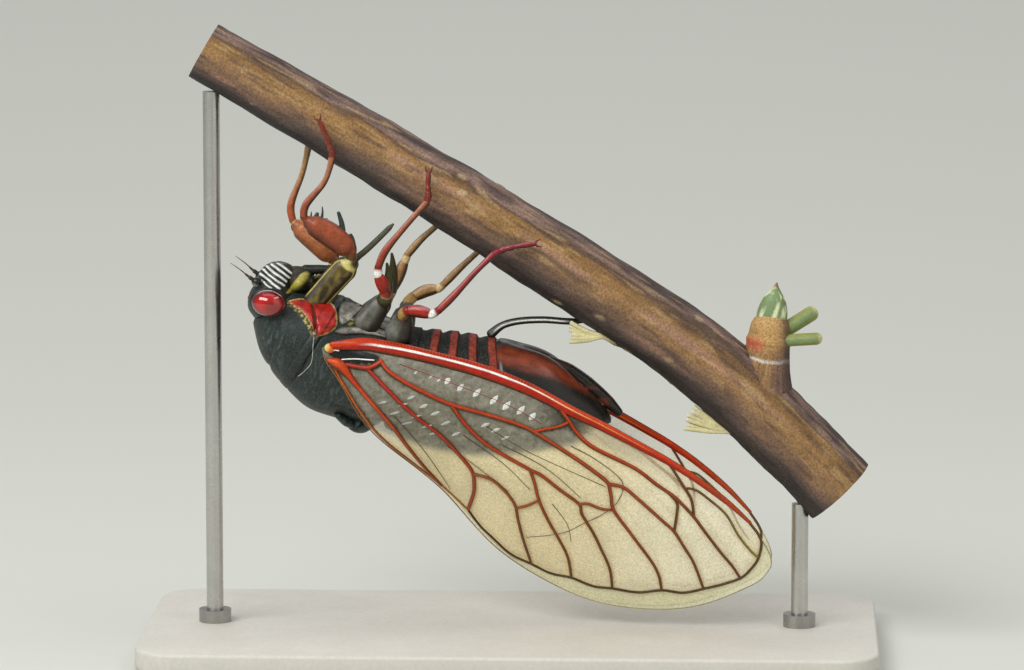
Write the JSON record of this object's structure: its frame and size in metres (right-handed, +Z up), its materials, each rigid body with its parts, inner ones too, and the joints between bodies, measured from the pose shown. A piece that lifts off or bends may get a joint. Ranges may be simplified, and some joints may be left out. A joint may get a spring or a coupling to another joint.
{
  "type": "life-size periodical cicada model on a twig and display stand",
  "caption": "Life-size still model of a periodical cicada gripping the underside of a cut twig while laying eggs, on a flat display stand.",
  "frame": {"origin": "centre of the stand base's underside", "axes": "+Z up, +X along the base towards the low end of the twig and the insect's tail, +Y towards the insect's left side, away from the viewer of the picture"},
  "size_m": [0.052, 0.024, 0.0444],
  "materials": {
    "shell": "dark blue-black cuticle, finely grained",
    "belly": "dark segments with red-brown bands",
    "tail": "smooth dark red-brown",
    "eye": "glossy red",
    "leg": "orange-red, satin",
    "leg_dark": "dark olive brown with yellow edges",
    "wing": "clear cream membrane with orange-red veins",
    "bark": "young brown bark",
    "stand": "satin warm grey",
    "rod": "fine brushed"
  },
  "bodies": {
    "root": {"head": "shell", "eye_left": "eye", "eye_right": "eye", "antenna_left": "shell", "antenna_right": "shell", "beak": "leg_dark", "pronotum": "shell", "thorax": "shell", "abdomen": "belly", "pygofer": "tail", "ovipositor": "shell", "forewing_left": "wing", "forewing_right": "wing", "hindwing_left": "wing", "hindwing_right": "wing", "coxa_fore_left": "leg_dark", "coxa_fore_right": "leg_dark", "coxa_mid_left": "leg_dark", "coxa_mid_right": "leg_dark", "coxa_hind_left": "leg_dark", "coxa_hind_right": "leg_dark", "femur_fore_left": "leg", "femur_fore_right": "leg", "femur_mid_left": "leg", "femur_mid_right": "leg", "femur_hind_left": "leg", "femur_hind_right": "leg", "tibia_fore_left": "leg", "tibia_fore_right": "leg", "tibia_mid_left": "leg", "tibia_mid_right": "leg", "tibia_hind_left": "leg", "tibia_hind_right": "leg", "tarsus_fore_left": "leg", "tarsus_fore_right": "leg", "tarsus_mid_left": "leg", "tarsus_mid_right": "leg", "tarsus_hind_left": "leg", "tarsus_hind_right": "leg", "twig": "bark", "stand_base": "stand", "stand_rod_high": "rod", "stand_rod_low": "rod"}
  },
  "joints": []
}
